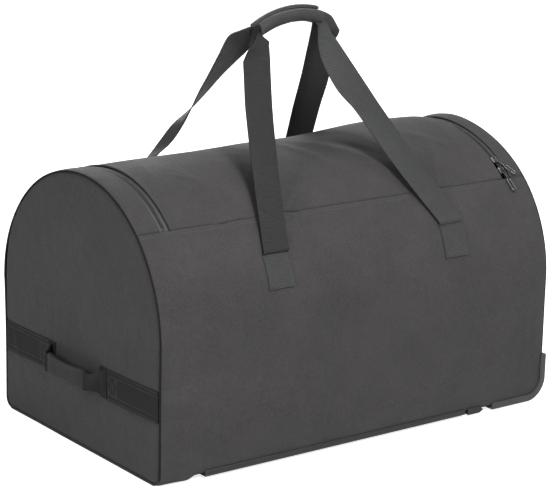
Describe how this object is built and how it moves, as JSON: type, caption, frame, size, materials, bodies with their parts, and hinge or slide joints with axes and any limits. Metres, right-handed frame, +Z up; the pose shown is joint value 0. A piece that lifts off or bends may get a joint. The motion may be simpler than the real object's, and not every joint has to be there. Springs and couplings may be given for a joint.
{
  "type": "wheeled hockey equipment bag",
  "caption": "Large arched-top equipment bag of grey cloth with a fold-back zipped lid, webbing carrying handles joined in a padded grip, a padded end handle, runners and corner wheels.",
  "frame": {"origin": "middle of the bag's footprint, on the floor", "axes": "+X along the bag towards its wheels, +Z up, front of the bag facing -Y"},
  "size_m": [0.8542, 0.49, 0.7012],
  "materials": {
    "shell_cloth": "matte",
    "webbing": "satin",
    "piping_cloth": "matte",
    "zip_tape": "matte",
    "zip_coil": "satin",
    "zip_metal": "gloss",
    "base_board": "matte",
    "housing_plastic": "satin",
    "runner_plastic": "satin",
    "tyre_rubber": "matte",
    "hub_plastic": "satin",
    "bush_plastic": "satin",
    "axle_steel": "satin"
  },
  "bodies": {
    "shell": {"base_panel": "shell_cloth", "front_panel": "shell_cloth", "back_panel": "shell_cloth", "left_end_panel": "shell_cloth", "right_end_panel": "shell_cloth", "left_gusset": "shell_cloth", "right_gusset": "shell_cloth", "back_gusset": "shell_cloth", "front_backing_patches": "shell_cloth", "back_backing_patches": "shell_cloth", "front_strap_patches": "webbing", "back_strap_patches": "webbing", "end_band": "webbing", "end_handle_roots": "webbing", "left_piping": "piping_cloth", "right_piping": "piping_cloth", "body_zip_tape": "zip_tape", "body_zip_coil": "zip_coil", "zip_stops": "zip_metal", "base_board": "base_board", "front_wheel_housing": "housing_plastic", "back_wheel_housing": "housing_plastic", "front_runner": "runner_plastic", "back_runner": "runner_plastic", "front_foot": "runner_plastic", "back_foot": "runner_plastic", "front_axle": "axle_steel", "back_axle": "axle_steel", "front_axle_clip": "axle_steel", "back_axle_clip": "axle_steel", "front_rivets": "axle_steel", "back_rivets": "axle_steel"},
    "lid": {"lid_panel": "shell_cloth", "lid_zip_coil": "zip_coil", "lid_zip_tape": "zip_tape"},
    "front_handle": {"front_strap": "webbing", "grip_sleeve": "webbing"},
    "back_handle": {"back_strap": "webbing"},
    "grip_cover": {"grip_flap": "webbing"},
    "side_handle": {"end_handle": "webbing", "end_handle_pad": "webbing"},
    "upper_slider": {"slider_upper": "zip_metal"},
    "lower_slider": {"slider_lower": "zip_metal"},
    "upper_pull": {"pull_upper": "zip_metal"},
    "lower_pull": {"pull_lower": "zip_metal"},
    "front_wheel": {"front_tyre": "tyre_rubber", "front_hub": "hub_plastic", "front_bushes": "bush_plastic"},
    "back_wheel": {"back_tyre": "tyre_rubber", "back_hub": "hub_plastic", "back_bushes": "bush_plastic"}
  },
  "joints": [
    {"name": "lid_fold", "type": "hinge", "parent": "shell", "child": "lid", "pos_m": [0, -0.17112, 0.39712], "axis": [1, 0, 0], "range_deg": [0, 100]},
    {"name": "front_handle_fold", "type": "hinge", "parent": "shell", "child": "front_handle", "pos_m": [0, -0.21218, 0.3485], "axis": [1, 0, 0], "range_deg": [0, 150]},
    {"name": "back_handle_fold", "type": "hinge", "parent": "shell", "child": "back_handle", "pos_m": [0, 0.21218, 0.3485], "axis": [-1, 0, 0], "range_deg": [0, 150]},
    {"name": "grip_cover_open", "type": "hinge", "parent": "front_handle", "child": "grip_cover", "pos_m": [0, 0.0124, 0.7016], "axis": [1, 0, 0], "range_deg": [0, 150]},
    {"name": "end_handle_swing", "type": "hinge", "parent": "shell", "child": "side_handle", "pos_m": [-0.4245, 0, 0.134], "axis": [0, 1, 0], "range_deg": [-30, 30]},
    {"name": "upper_slider_travel", "type": "hinge", "parent": "shell", "child": "upper_slider", "pos_m": [0, 0, 0.226], "axis": [-1, 0, 0], "range_deg": [0, 62]},
    {"name": "lower_slider_travel", "type": "hinge", "parent": "shell", "child": "lower_slider", "pos_m": [0, 0, 0.226], "axis": [-1, 0, 0], "range_deg": [-1, 0]},
    {"name": "upper_pull_swing", "type": "hinge", "parent": "upper_slider", "child": "upper_pull", "pos_m": [0.375, -0.14058, 0.42677], "axis": [-1, 0, 0], "range_deg": [0, 150]},
    {"name": "lower_pull_swing", "type": "hinge", "parent": "lower_slider", "child": "lower_pull", "pos_m": [0.375, -0.1608, 0.41098], "axis": [-1, 0, 0], "range_deg": [0, 150]},
    {"name": "front_wheel_spin", "type": "hinge", "parent": "shell", "child": "front_wheel", "pos_m": [0.354, -0.212, 0.032], "axis": [0, 1, 0], "continuous": true},
    {"name": "back_wheel_spin", "type": "hinge", "parent": "shell", "child": "back_wheel", "pos_m": [0.354, 0.212, 0.032], "axis": [0, 1, 0], "continuous": true}
  ],
  "couplings": [
    {"joint": "front_handle_fold", "follows": "lid_fold", "ratio": 1.5},
    {"joint": "back_handle_fold", "follows": "lid_fold", "ratio": 1.5}
  ]
}
